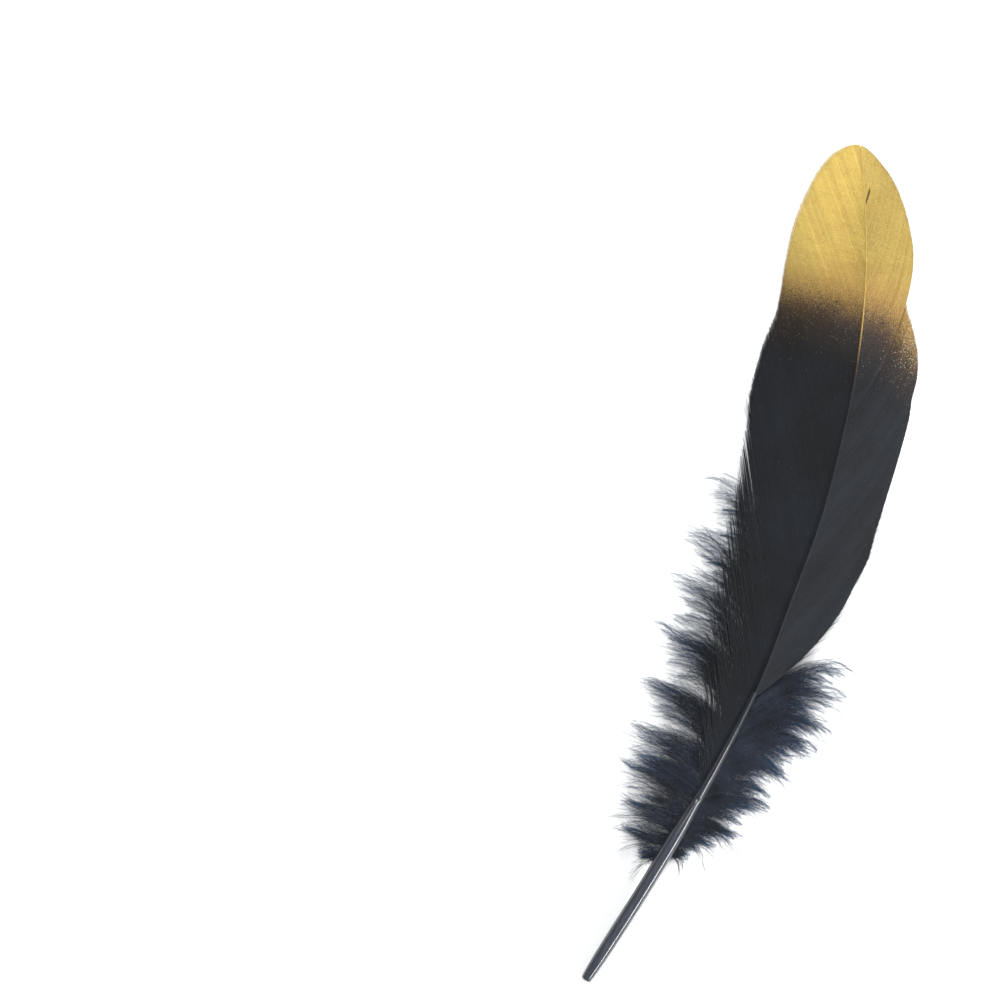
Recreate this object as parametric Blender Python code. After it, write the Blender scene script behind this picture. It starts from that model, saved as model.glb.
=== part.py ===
"""A goose quill feather, lying down with its rounded back up.

The shaft, both vanes and the down at their foot grew as one piece, so they are one solid.
Outlines are in millimetres, seen from above: along the line from the quill's end to the vane's
tip, and across that line, to the right. The finished mesh is in metres, +Y towards the tip.
"""
import math
import random

import bmesh
import bpy
from mathutils import Vector

MM = 0.001
LENGTH = 180.0

# The shaft: its bow seen from above, its rise off the surface, and its half width and depth.
SHAFT_BOW = [(0, 0), (18.7, 4.7), (37.4, 9.0), (51.3, 11.9), (69.4, 14.5), (86.9, 15.3),
             (104.4, 15.9), (121.3, 14.9), (137.9, 13.0), (154, 9.5), (169.8, 5.0), (180, 0)]
SHAFT_RISE = [(0, 0.8), (3, 1.05), (20, 2.8), (50, 5.5), (90, 7.2), (125, 6.4), (155, 3.9),
              (172, 1.3), (180, 0.2)]
SHAFT_HALF_WIDTH = [(0, 1.0), (5, 1.35), (12, 1.45), (32, 1.45), (42, 1.1), (51, 0.95),
                    (65, 0.7), (87, 0.5), (110, 0.42), (140, 0.35), (180, 0.25)]
SHAFT_DEPTH = [(0, 1.0), (32, 1.0), (65, 1.15), (110, 1.3), (180, 1.2)]
SHAFT_SIDES = 12
SHAFT_END = 178.5
SHAFT_STEP = 5.0
CUT_ROUNDING = 0.6
PIT_SHARE = 0.45
PIT_DEPTH = 1.5
NOTCH_ALONG = 42.5
NOTCH_HALF_LENGTH = 0.7
NOTCH_DEPTH = 0.15
GROOVE_START = 46.0
GROOVE_DEPTH = 0.35

# The vanes: how far their edges stand from the line, and how a barb runs from shaft to edge.
LEFT_EDGE = [(90, -7.9), (99, -7.8), (111, -6.6), (121.8, -5.7), (134.8, -6.3), (143, -5.8),
             (151, -7.0), (158, -7.9), (163, -8.0), (167.5, -7.6), (172.5, -6.6), (176.7, -4.8),
             (179.2, -2.2), (180, 0)]
RIGHT_EDGE = [(88, 26.2), (94, 27.1), (100, 28.1), (106, 27.9), (121, 27.6), (130, 27.1),
              (134, 26.4), (139, 25.9), (143.4, 24.5), (148.3, 21.7), (153.2, 18.6), (158, 18.4),
              (163.9, 16.7), (170.6, 12.8), (175, 9.2), (178.4, 4.5), (180, 0)]
LEFT_LEAD, LEFT_FAN = 48.0, 1.15
RIGHT_LEAD, RIGHT_FAN = [(64, 24.0), (72, 30.0), (82, 36.0), (92, 38.5)], 1.5
UPPER_RIGHT_LEAD = 60.0
LEFT_LIFT = [(90, 0.9), (104, 0.15), (140, 0.15), (162, 1.0), (176, 0.5), (180, 0.2)]
RIGHT_LIFT = [(88, 1.6), (96, 1.1), (108, 0.15), (130, 0.15), (150, 1.3), (172, 0.8), (180, 0.2)]
VANE_START, VANE_END = 46.0, 179.0
RIGHT_VANE_START = 64.0
BARB_STEP = 3.1
LEFT_COLUMNS, RIGHT_COLUMNS = 5, 4
VANE_DROOP = 1.8
VANE_THICK, EDGE_THICK = 0.45, 0.28
BARB_RIDGE = 0.12
EDGE_NICK = 0.014
SPLIT_ROOT = 123.5
SPLIT_SHARE = 0.5

# The down: tips of the locks on each side, from the lowest to the highest.
RIGHT_TIPS = [(28.6, 11.2), (33.8, 16.8), (38.4, 20.4), (43.4, 23.2), (49.6, 23.6),
              (60.1, 29.1), (66.3, 30.6), (74.3, 32.2), (80.6, 30.0)]
LEFT_TIPS = [(28.0, 0.6), (32.5, -3.9), (40.0, -6.8), (48.5, -8.2), (57.5, -8.9),
             (66.5, -9.3), (76.0, -9.6), (86.5, -9.9), (98.0, -9.8)]
RIGHT_ROOTS = (28.0, 65.0)
LEFT_ROOTS = (28.0, 66.0)
RIGHT_LOCKS, LEFT_LOCKS = 22, 25
ROOT_CROWDING = 0.85
LOCK_HALF_WIDTH = 1.4
LOCK_HALF_DEPTH = 0.34
FULL_WIDTH_SPAN = 14.0
LOCK_STATIONS = (0.0, 0.25, 0.5, 0.75, 0.92)
LOCK_NECK, DEPTH_NECK = 0.3, 0.35
HEADING_STEP = 0.05
SWELL_FROM, SWELL_RUN, SWELL_FULLNESS = 0.12, 0.86, 0.8
TIP_THINNING = 0.5
SWEEP_OUT, SWEEP_FORWARD = 0.25, 0.3
SWEEP_EASE = 0.45
TIP_HEIGHTS = (0.3, 1.6)
BEND_HEIGHTS = (-0.3, 0.5)
BEND_DROP = 0.35
FLOOR, FLOOR_STEP, FLOOR_STEPS = 0.04, 0.013, 5
RIGHT_FLOOR, FORK_FLOOR = 0.007, 0.003
FORK_STATIONS = (0.0, 0.4, 0.75)
FORK_FROM = 0.5
FORK_TURN = math.radians(15)
FORK_WIDTH, FORK_DEPTH = 0.55, 0.7
FORK_REACH = (0.75, 0.95)
SHORT_LOCK = 0.8
LOCK_SEED = 7

BLACK = (0.012, 0.014, 0.018, 1.0)
GOLD = (0.55, 0.36, 0.10, 1.0)
GOLD_FROM, GOLD_FULL = 138.0, 154.0


def smooth_value(points, x):
    """The height at x of a smooth curve through the points."""
    last = len(points) - 1
    if x <= points[0][0]:
        return points[0][1]
    if x >= points[last][0]:
        return points[last][1]
    start = max(i for i in range(last) if points[i][0] <= x)
    x0, y0 = points[start]
    x1, y1 = points[start + 1]

    def slope(i):
        before = points[max(i - 1, 0)]
        after = points[min(i + 1, last)]
        return (after[1] - before[1]) / (after[0] - before[0])

    run = x1 - x0
    share = (x - x0) / run
    square = share * share
    cube = square * share
    return ((2 * cube - 3 * square + 1) * y0 + (cube - 2 * square + share) * run * slope(start)
            + (3 * square - 2 * cube) * y1 + (cube - square) * run * slope(start + 1))


def edge_value(points, along):
    """A vane edge's place across, on a scale that opens up the round tip."""
    opened = [(-math.sqrt(LENGTH - point[0]), point[1]) for point in points]
    return smooth_value(opened, -math.sqrt(max(LENGTH - along, 0.0)))


def barb_point(side, root, share):
    """A point of the barb that leaves the shaft at root, share of the way to the vane's edge."""
    if side < 0:
        edge, lead, fan, lift = LEFT_EDGE, LEFT_LEAD, LEFT_FAN, LEFT_LIFT
    else:
        edge, lead, fan, lift = RIGHT_EDGE, smooth_value(RIGHT_LEAD, root), RIGHT_FAN, RIGHT_LIFT
    if side > 0 and root > SPLIT_ROOT:
        lead = UPPER_RIGHT_LEAD
    end = root + lead * (1 - math.exp(-(LENGTH - root) / lead))
    reach = edge_value(edge, end) - smooth_value(SHAFT_BOW, end)
    out = fan * share - (fan - 1) * share * share
    along = root + (end - root) * share
    across = smooth_value(SHAFT_BOW, along) + reach * out
    droop = out ** VANE_DROOP
    height = smooth_value(SHAFT_RISE, along) * (1 - droop) + smooth_value(lift, end) * droop
    return Vector((across, along, height))


def mesh_object(name, points, faces):
    """An object from points in millimetres, its faces cut to triangles."""
    mesh = bpy.data.meshes.new(name)
    mesh.from_pydata([point * MM for point in points], [], faces)
    shape = bmesh.new()
    shape.from_mesh(mesh)
    bmesh.ops.triangulate(shape, faces=shape.faces)
    bmesh.ops.recalc_face_normals(shape, faces=shape.faces)
    shape.to_mesh(mesh)
    shape.free()
    made = bpy.data.objects.new(name, mesh)
    bpy.context.scene.collection.objects.link(made)
    return made


def tube_faces(rings, sides):
    """Quads between rings of points, one ring after the other."""
    faces = []
    for ring in range(rings - 1):
        for side in range(sides):
            turn = (side + 1) % sides
            faces.append((ring * sides + side, ring * sides + turn,
                          (ring + 1) * sides + turn, (ring + 1) * sides + side))
    return faces


def shaft_ring(along, scale=1.0, shift=0.0):
    """One ring of the shaft, flattened where it rests and grooved below the rachis."""
    half_width = smooth_value(SHAFT_HALF_WIDTH, along) * scale
    half_depth = half_width * smooth_value(SHAFT_DEPTH, along)
    middle = Vector((smooth_value(SHAFT_BOW, along), along, smooth_value(SHAFT_RISE, along)))
    ahead = along + 1.0
    heading = Vector((smooth_value(SHAFT_BOW, ahead) - middle.x, 1.0, 0.0)).normalized()
    sideways = Vector((heading.y, -heading.x, 0.0))
    points = []
    for side in range(SHAFT_SIDES):
        angle = 2 * math.pi * (side + 0.5) / SHAFT_SIDES
        up = math.sin(angle) * half_depth
        lowest = math.sin(angle) < -0.9
        topmost = math.sin(angle) > 0.9
        if lowest and along > GROOVE_START:
            up += GROOVE_DEPTH * half_depth
        if topmost and abs(along - NOTCH_ALONG) < NOTCH_HALF_LENGTH / 2:
            up -= NOTCH_DEPTH
        point = middle + sideways * math.cos(angle) * half_width + Vector((0, shift, up))
        point.z = max(point.z, 0.0)
        points.append(point)
    return points


def make_shaft():
    """The quill and rachis: a tapering bowed tube with a pitted, rounded end."""
    stops = [CUT_ROUNDING, 3.0]
    while stops[-1] + SHAFT_STEP < SHAFT_END:
        stops.append(stops[-1] + SHAFT_STEP)
    stops += [SHAFT_END, NOTCH_ALONG - NOTCH_HALF_LENGTH, NOTCH_ALONG,
              NOTCH_ALONG + NOTCH_HALF_LENGTH]
    rings = [shaft_ring(0.0, PIT_SHARE * 0.7, PIT_DEPTH), shaft_ring(0.0, PIT_SHARE),
             shaft_ring(0.0, 0.85)]
    rings += [shaft_ring(stop) for stop in sorted(stops)]
    points = [point for ring in rings for point in ring]
    faces = tube_faces(len(rings), SHAFT_SIDES)
    last = len(points)
    faces.append(tuple(range(SHAFT_SIDES)))
    faces.append(tuple(range(last - SHAFT_SIDES, last)))
    return mesh_object("shaft", points, faces)


def vane_rows():
    """Rows of points across both vanes, edge to edge, and the roots they leave the shaft at."""
    count = round((VANE_END - VANE_START) / BARB_STEP)
    roots = [VANE_START + (VANE_END - VANE_START) * i / count for i in range(count + 1)]
    before = max(i for i in range(count) if roots[i] < SPLIT_ROOT)
    rows = []
    for number, root in enumerate(roots):
        ridge = BARB_RIDGE if number % 2 else 0.0
        nick = 1.0 - (0.0 if number % 2 else EDGE_NICK)
        row = []
        for column in range(-LEFT_COLUMNS, RIGHT_COLUMNS + 1):
            columns = LEFT_COLUMNS if column < 0 else RIGHT_COLUMNS
            share = abs(column) / columns
            point = barb_point(-1 if column < 0 else 1, root, share * nick)
            raised = ridge * (1 - share) * min(1.0, (LENGTH - root) / 20)
            row.append((point, share, raised))
        rows.append(row)
    return rows, roots, before


def make_vanes():
    """Both vanes as one thin sheet with barb ridges, a split on the right and a thin edge."""
    rows, roots, before = vane_rows()
    width = LEFT_COLUMNS + RIGHT_COLUMNS + 1
    above, below = [], []
    for row, root in zip(rows, roots):
        for point, share, raised in row:
            thick = VANE_THICK + (EDGE_THICK - VANE_THICK) * share
            thick = min(thick, smooth_value(SHAFT_HALF_WIDTH, root) * 0.9)
            low = max(point.z - thick / 2, 0.0)
            above.append(Vector((point.x, point.y, low + thick + raised)))
            below.append(Vector((point.x, point.y, low)))
    cells = []
    for row in range(len(rows) - 1):
        for column in range(width - 1):
            on_right = column >= LEFT_COLUMNS
            share = (column - LEFT_COLUMNS) / RIGHT_COLUMNS
            in_gap = row == before and on_right and share >= SPLIT_SHARE
            in_down = on_right and roots[row] < RIGHT_VANE_START
            if not in_gap and not in_down:
                cells.append((row, column))
    faces, walls = [], {}
    count = len(above)
    for row, column in cells:
        a = row * width + column
        corners = (a, a + 1, a + width + 1, a + width)
        faces.append(corners)
        faces.append(tuple(count + corner for corner in reversed(corners)))
        for first, second in zip(corners, corners[1:] + corners[:1]):
            if (second, first) in walls:
                del walls[(second, first)]
            else:
                walls[(first, second)] = True
    faces += [(second, first, count + first, count + second) for first, second in walls]
    used = sorted({corner for face in faces for corner in face})
    renumbered = {corner: number for number, corner in enumerate(used)}
    points = [(above + below)[corner] for corner in used]
    return mesh_object("vanes", points,
                       [tuple(renumbered[corner] for corner in face) for face in faces])


def bent(start, pull, end, share):
    """A point of the bow from start to end that leans towards pull."""
    rest = 1 - share
    return start * rest * rest + pull * 2 * rest * share + end * share * share


def make_blade(name, start, pull, end, stations, half_width, half_depth, floor):
    """A tapering flat blade along a bow, four-sided, ending in a point."""
    points = []
    for station in stations:
        middle = bent(start, pull, end, station)
        heading = bent(start, pull, end, station + HEADING_STEP) - middle
        sideways = Vector((heading.y, -heading.x, 0.0)).normalized()
        swell = math.sin(math.pi * (SWELL_FROM + station * SWELL_RUN)) ** SWELL_FULLNESS
        plump = LOCK_NECK + (1 - LOCK_NECK) * swell
        wide = half_width * plump
        deep = half_depth * (DEPTH_NECK + (1 - DEPTH_NECK) * plump) * (1 - TIP_THINNING * station)
        for offset in (sideways * wide, Vector((0, 0, deep)), sideways * -wide,
                       Vector((0, 0, -deep))):
            corner = middle + offset
            corner.z = max(corner.z, floor if offset.z < 0 else floor + deep)
            points.append(corner)
    tip = len(points)
    points.append(Vector((end.x, end.y, max(end.z, floor + FLOOR))))
    faces = tube_faces(len(stations), 4)
    faces.append((0, 1, 2, 3))
    faces += [(tip - 4 + side, tip - 4 + (side + 1) % 4, tip) for side in range(4)]
    return mesh_object(name, points, faces)


def make_lock(side, number, count, chance):
    """One lock of down: a blade from inside the shaft to its tip, with a second tip forking off."""
    tips, roots = (RIGHT_TIPS, RIGHT_ROOTS) if side > 0 else (LEFT_TIPS, LEFT_ROOTS)
    share = number / (count - 1)
    place = share * (len(tips) - 1)
    places = list(enumerate(tips))
    along = smooth_value([(i, tip[0]) for i, tip in places], place)
    across = smooth_value([(i, tip[1]) for i, tip in places], place)
    root = roots[0] + (roots[1] - roots[0]) * share ** ROOT_CROWDING
    start = Vector((smooth_value(SHAFT_BOW, root), root, smooth_value(SHAFT_RISE, root)))
    reach = 1.0 if number % 3 != 1 else SHORT_LOCK + chance.uniform(-0.05, 0.08)
    end = start.lerp(Vector((across, along, chance.uniform(*TIP_HEIGHTS))), reach)
    span = (end - start).length
    swept = Vector((side * SWEEP_OUT, SWEEP_FORWARD, 0.0)) * span
    pull = start + swept.lerp((end - start) / 2, SWEEP_EASE)
    pull.z = start.z + (end.z - start.z) * BEND_DROP + chance.uniform(*BEND_HEIGHTS)
    wide = LOCK_HALF_WIDTH * min(1.0, span / FULL_WIDTH_SPAN) * chance.uniform(0.85, 1.15)
    floor = FLOOR + FLOOR_STEP * (number % FLOOR_STEPS) + (RIGHT_FLOOR if side > 0 else 0.0)
    name = f"lock_{'right' if side > 0 else 'left'}_{number:02d}"
    blade = make_blade(name, start, pull, end, LOCK_STATIONS, wide, LOCK_HALF_DEPTH, floor)
    fork_start = bent(start, pull, end, FORK_FROM)
    onward = end - fork_start
    turn = FORK_TURN * (1 if number % 2 else -1)
    fork_end = fork_start + Vector((
        onward.x * math.cos(turn) - onward.y * math.sin(turn),
        onward.x * math.sin(turn) + onward.y * math.cos(turn), onward.z)) * chance.uniform(*FORK_REACH)
    fork = make_blade(name + "_fork", fork_start, (fork_start + fork_end) / 2, fork_end,
                      FORK_STATIONS, wide * FORK_WIDTH, LOCK_HALF_DEPTH * FORK_DEPTH,
                      floor + FORK_FLOOR)
    return [blade, fork]


def fuse(base, pieces):
    """Joins the pieces to the base in one Boolean union and drops them."""
    group = bpy.data.collections.new("grown_together")
    for piece in pieces:
        group.objects.link(piece)
    joining = base.modifiers.new("join", "BOOLEAN")
    joining.operation = "UNION"
    joining.solver = "EXACT"
    joining.operand_type = "COLLECTION"
    joining.collection = group
    evaluated = base.evaluated_get(bpy.context.evaluated_depsgraph_get())
    joined = bpy.data.meshes.new_from_object(evaluated)
    base.modifiers.remove(joining)
    base.data = joined
    for piece in pieces:
        bpy.data.objects.remove(piece)
    bpy.data.collections.remove(group)


def stand_on_origin(made):
    """Moves the mesh so that the origin is under the middle of its box."""
    corners = [Vector(corner) for corner in made.bound_box]
    low = Vector(map(min, zip(*corners)))
    high = Vector(map(max, zip(*corners)))
    for vertex in made.data.vertices:
        vertex.co -= Vector(((low.x + high.x) / 2, (low.y + high.y) / 2, low.z))
    made.data.update()


def feather_material():
    """Dyed black, turning to gold paint at the tip."""
    material = bpy.data.materials.new("feather")
    material.use_nodes = True
    nodes, links = material.node_tree.nodes, material.node_tree.links
    shader = nodes["Principled BSDF"]
    shader.inputs["Roughness"].default_value = 0.5
    place = nodes.new("ShaderNodeTexCoord")
    split = nodes.new("ShaderNodeSeparateXYZ")
    along = nodes.new("ShaderNodeMapRange")
    along.inputs["From Min"].default_value = (GOLD_FROM - LENGTH / 2) * MM
    along.inputs["From Max"].default_value = (GOLD_FULL - LENGTH / 2) * MM
    paint = nodes.new("ShaderNodeMix")
    paint.data_type = "RGBA"
    paint.inputs["A"].default_value = BLACK
    paint.inputs["B"].default_value = GOLD
    links.new(place.outputs["Object"], split.inputs["Vector"])
    links.new(split.outputs["Y"], along.inputs["Value"])
    links.new(along.outputs["Result"], paint.inputs["Factor"])
    links.new(along.outputs["Result"], shader.inputs["Metallic"])
    links.new(paint.outputs["Result"], shader.inputs["Base Color"])
    return material


def make_feather():
    """The whole feather, one solid."""
    chance = random.Random(LOCK_SEED)
    feather = make_shaft()
    feather.name = "feather"
    pieces = [make_vanes()]
    for side, count in ((-1, LEFT_LOCKS), (1, RIGHT_LOCKS)):
        for number in range(count):
            pieces += make_lock(side, number, count, chance)
    fuse(feather, pieces)
    feather.data.name = "feather"
    feather.data.materials.clear()
    feather.data.materials.append(feather_material())
    stand_on_origin(feather)
    feather.data.shade_smooth()
    feather.data.set_sharp_from_angle(angle=math.radians(35))
    return feather


for leftover in list(bpy.data.objects):
    bpy.data.objects.remove(leftover)
make_feather()
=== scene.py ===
# %% [markdown]
# # A goose quill feather
#
# One feather from a goose's wing, dyed black, with a tip sprayed gold. It lies on a pale table
# with its rounded back up, and the camera looks straight down on it.
#
# The solid model gives the size and the outline. This script grows the real surface on the same
# lines: a polished shaft, some seven hundred barbs that lie side by side as the two vanes, and
# loose down at their foot. All shapes are worked out in millimetres on a plan: along the line
# from the quill's end to the vane's tip, across it to the right, and up from the table.

# %% Load the solid model
import math
import random

import bpy
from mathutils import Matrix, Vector


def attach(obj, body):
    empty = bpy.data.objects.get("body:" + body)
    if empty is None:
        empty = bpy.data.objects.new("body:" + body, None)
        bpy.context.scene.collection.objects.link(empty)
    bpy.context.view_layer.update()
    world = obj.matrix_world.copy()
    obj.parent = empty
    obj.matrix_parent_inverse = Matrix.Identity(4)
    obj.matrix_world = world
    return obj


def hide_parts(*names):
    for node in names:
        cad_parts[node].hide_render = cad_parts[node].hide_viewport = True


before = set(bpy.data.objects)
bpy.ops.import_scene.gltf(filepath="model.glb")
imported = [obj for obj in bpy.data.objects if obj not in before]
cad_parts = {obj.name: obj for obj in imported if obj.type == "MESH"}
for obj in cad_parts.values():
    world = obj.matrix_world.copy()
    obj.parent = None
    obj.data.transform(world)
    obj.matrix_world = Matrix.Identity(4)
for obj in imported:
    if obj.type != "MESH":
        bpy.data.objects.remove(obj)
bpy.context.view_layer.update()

# %% [markdown]
# ## From plan to frame
#
# The plan starts at the quill's end, and the frame's origin is under the middle of the feather,
# so one shift turns one into the other. Every curve below is a short list of points that a
# smooth line runs through, which keeps an organic shape editable: move a point, and the shaft
# and each barb that grows from it follow.

# %% Plan and smooth lines
MM = 0.001
LENGTH = 180.0
QUILL_END = Vector((-10.589, -89.896, 0.0))


def spot(point):
    """A plan point in millimetres as a place in the frame, in metres."""
    return (point + QUILL_END) * MM


def smooth_value(points, x):
    """The height at x of a smooth curve through the points."""
    last = len(points) - 1
    if x <= points[0][0]:
        return points[0][1]
    if x >= points[last][0]:
        return points[last][1]
    start = max(i for i in range(last) if points[i][0] <= x)

    def slope(i):
        before, after = points[max(i - 1, 0)], points[min(i + 1, last)]
        return (after[1] - before[1]) / (after[0] - before[0])

    run = points[start + 1][0] - points[start][0]
    share = (x - points[start][0]) / run
    square, cube = share ** 2, share ** 3
    return ((2 * cube - 3 * square + 1) * points[start][1]
            + (cube - 2 * square + share) * run * slope(start)
            + (3 * square - 2 * cube) * points[start + 1][1]
            + (cube - square) * run * slope(start + 1))


# %% [markdown]
# ## The lines of this feather
#
# The shaft bows to the right and arches a few millimetres off the table. The left vane is wide,
# the right one narrow, and a split runs into the right one three quarters of the way up.

# %% Shaft and vane lines
SHAFT_BOW = [(0, 0), (18.7, 4.7), (37.4, 9.0), (51.3, 11.9), (69.4, 14.5), (86.9, 15.3),
             (104.4, 15.9), (121.3, 14.9), (137.9, 13.0), (154, 9.5), (169.8, 4.3), (180, 0)]
SHAFT_RISE = [(0, 0.8), (3, 1.05), (20, 2.8), (50, 5.5), (90, 7.2), (125, 6.4), (155, 3.9),
              (172, 1.3), (180, 0.2)]
SHAFT_HALF_WIDTH = [(0, 1.02), (1.2, 1.16), (5, 1.35), (12, 1.45), (32, 1.43), (37, 1.28), (42, 1.02),
                    (51, 0.84), (65, 0.6), (74, 0.48), (87, 0.4), (109, 0.3), (140, 0.19),
                    (150, 0.13), (166, 0.1), (180, 0.06)]
SHAFT_DEPTH = [(0, 1.0), (32, 1.0), (65, 1.15), (110, 1.35), (180, 1.3)]
LEFT_EDGE = [(90, -7.9), (99, -7.8), (111, -6.6), (121.8, -5.7), (134.8, -6.3), (143, -5.8),
             (151, -7.0), (158, -7.9), (163, -8.0), (167.5, -7.6), (172.5, -6.6), (176.7, -4.8),
             (179.2, -2.2), (180, 0)]
RIGHT_EDGE = [(88, 26.2), (94, 27.1), (100, 28.1), (106, 27.9), (121, 27.6), (130, 27.1),
              (134, 26.4), (139, 25.9), (143.4, 24.5), (148.3, 21.7), (153.2, 18.6), (158, 18.4),
              (163.9, 16.7), (170.6, 12.8), (175, 9.2), (178.4, 4.5), (180, 0)]
LEFT_LIFT = [(90, 0.9), (104, 0.2), (140, 0.2), (162, 1.0), (176, 0.5), (180, 0.2)]
RIGHT_LIFT = [(88, 1.6), (96, 1.1), (108, 0.2), (130, 0.2), (150, 1.1), (172, 0.8), (180, 0.2)]
LEFT_LEAD, LEFT_FAN = 48.0, 1.15
RIGHT_LEAD = [(64, 24.0), (72, 30.0), (82, 36.0), (92, 38.5), (123.5, 38.5), (137, 60.0)]
RIGHT_FAN = 1.5
SPLIT_ROOT = 123.5
VANE_DROOP = 1.8
UPPER_LOBE_RISE, LOBE_RISE_FADES = 0.45, 12.0


def shaft_point(along):
    """The middle of the shaft on the plan."""
    return Vector((smooth_value(SHAFT_BOW, along), along, smooth_value(SHAFT_RISE, along)))


def edge_across(points, along):
    """A vane edge's place across, on a scale that opens up the round tip."""
    opened = [(-math.sqrt(LENGTH - point[0]), point[1]) for point in points]
    return smooth_value(opened, -math.sqrt(max(LENGTH - along, 0.0)))


def barb_point(side, root, share):
    """A point of the barb that leaves the shaft at root, share of the way to the vane's edge."""
    if side < 0:
        edge, lead, fan, lift = LEFT_EDGE, LEFT_LEAD, LEFT_FAN, LEFT_LIFT
    else:
        edge, lead, fan, lift = RIGHT_EDGE, smooth_value(RIGHT_LEAD, root), RIGHT_FAN, RIGHT_LIFT
    end = root + lead * (1 - math.exp(-(LENGTH - root) / lead))
    reach = edge_across(edge, end) - smooth_value(SHAFT_BOW, end)
    out = fan * share - (fan - 1) * share * share
    along = root + (end - root) * share
    droop = out ** VANE_DROOP
    height = smooth_value(SHAFT_RISE, along) * (1 - droop) + smooth_value(lift, end) * droop
    if side > 0 and root > SPLIT_ROOT:
        height += UPPER_LOBE_RISE * max(0.0, 1 - (root - SPLIT_ROOT) / LOBE_RISE_FADES) * share ** 3
    return Vector((smooth_value(SHAFT_BOW, along) + reach * out, along, height))


print("vane width at 130 mm:", round(barb_point(1, 100, 1).x - barb_point(-1, 95, 1).x, 1), "mm")

# %% [markdown]
# ## Camera, table and light
#
# The photograph looks straight down, so the camera does too. The feather leans 18 degrees to the
# right in the picture. Two named pixels, the quill's end and the vane's tip, give the lean, the
# scale and the point of the table under the middle of the picture. A long lens keeps the arched
# middle of the feather from looking larger than its ends.

# %% Camera
QUILL_PIXEL = (585.5, 979.5)
TIP_PIXEL = (860.0, 145.0)
PICTURE_SIDE = 1000
LENS, SENSOR = 200.0, 36.0

right = TIP_PIXEL[0] - QUILL_PIXEL[0]
up = QUILL_PIXEL[1] - TIP_PIXEL[1]
lean = math.atan2(right, up)
mm_per_pixel = LENGTH / math.hypot(right, up)
right = (PICTURE_SIDE / 2 - QUILL_PIXEL[0]) * mm_per_pixel
up = (QUILL_PIXEL[1] - PICTURE_SIDE / 2) * mm_per_pixel
aim = spot(Vector((right * math.cos(lean) - up * math.sin(lean),
                   right * math.sin(lean) + up * math.cos(lean), 0.0)))
distance = PICTURE_SIDE * mm_per_pixel * MM * LENS / SENSOR
camera_data = bpy.data.cameras.new("camera")
camera_data.lens = LENS
camera_data.sensor_width = SENSOR
camera = bpy.data.objects.new("camera", camera_data)
camera.location = aim + Vector((0, 0, distance))
camera.rotation_euler = (0, 0, lean)
bpy.context.scene.collection.objects.link(camera)
bpy.context.scene.camera = camera
print("lean", round(math.degrees(lean), 1), "degrees; camera", round(distance, 3), "m up")

# %% Table and light
TABLE_HALF = 2.0
table_mesh = bpy.data.meshes.new("table")
table_mesh.from_pydata([(-TABLE_HALF, -TABLE_HALF, 0), (TABLE_HALF, -TABLE_HALF, 0),
                        (TABLE_HALF, TABLE_HALF, 0), (-TABLE_HALF, TABLE_HALF, 0)],
                       [], [(0, 1, 2, 3)])
table = bpy.data.objects.new("table", table_mesh)
bpy.context.scene.collection.objects.link(table)
table_white = bpy.data.materials.new("table_white")
table_white.use_nodes = True
table_white.node_tree.nodes["Principled BSDF"].inputs["Base Color"].default_value = (0.9, 0.9, 0.9, 1)
table_white.node_tree.nodes["Principled BSDF"].inputs["Roughness"].default_value = 0.9
table_mesh.materials.append(table_white)


def softbox(name, place, width, height, power):
    """A soft lamp at this place, aimed at the middle of the feather."""
    lamp = bpy.data.lights.new(name, "AREA")
    lamp.shape = "RECTANGLE"
    lamp.size, lamp.size_y = width, height
    lamp.energy = power
    made = bpy.data.objects.new(name, lamp)
    made.location = place
    made.rotation_euler = (-Vector(place)).to_track_quat("-Z", "Y").to_euler()
    bpy.context.scene.collection.objects.link(made)


softbox("overhead", (-0.35, 0.45, 1.3), 1.0, 1.0, 22.0)
softbox("side_window", (0.84, -0.05, 0.52), 1.3, 0.1, 17.0)
world = bpy.data.worlds.new("studio")
world.use_nodes = True
world.node_tree.nodes["Background"].inputs["Color"].default_value = (0.95, 0.97, 1.0, 1)
world.node_tree.nodes["Background"].inputs["Strength"].default_value = 0.32
bpy.context.scene.world = world
bpy.context.scene.view_settings.view_transform = "Standard"

# %% [markdown]
# ## Small helpers for node trees
#
# Materials and Geometry Nodes are both built from nodes, so one helper adds a node, sets its
# properties and feeds its inputs from values or from other nodes. The trees below then read
# as one line for each step.

# %% Node helpers


def add(tree, kind, feeds=None, **settings):
    """A node of this kind. feeds maps an input's name or number to a value or an output."""
    made = tree.nodes.new(kind)
    for name, value in settings.items():
        setattr(made, name, value)
    for name, value in (feeds or {}).items():
        if isinstance(value, bpy.types.NodeSocket):
            tree.links.new(value, made.inputs[name])
        else:
            made.inputs[name].default_value = value
    return made


def maths(tree, operation, first, second=0.0):
    """The result of one sum on numbers."""
    return add(tree, "ShaderNodeMath", {0: first, 1: second}, operation=operation).outputs[0]


def vectors(tree, operation, first, second=(0.0, 0.0, 0.0)):
    """The result of one sum on vectors."""
    slot = 3 if operation == "SCALE" else 1
    return add(tree, "ShaderNodeVectorMath", {0: first, slot: second},
               operation=operation).outputs[0]


def blended(tree, share, first, second, kind="VECTOR"):
    """first to second by share: numbers, vectors or colours."""
    number = {"FLOAT": 0, "VECTOR": 1, "RGBA": 2}[kind]
    node = add(tree, "ShaderNodeMix", {0: share, 2 + 2 * number: first, 3 + 2 * number: second},
               data_type=kind)
    return node.outputs[number]


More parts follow.
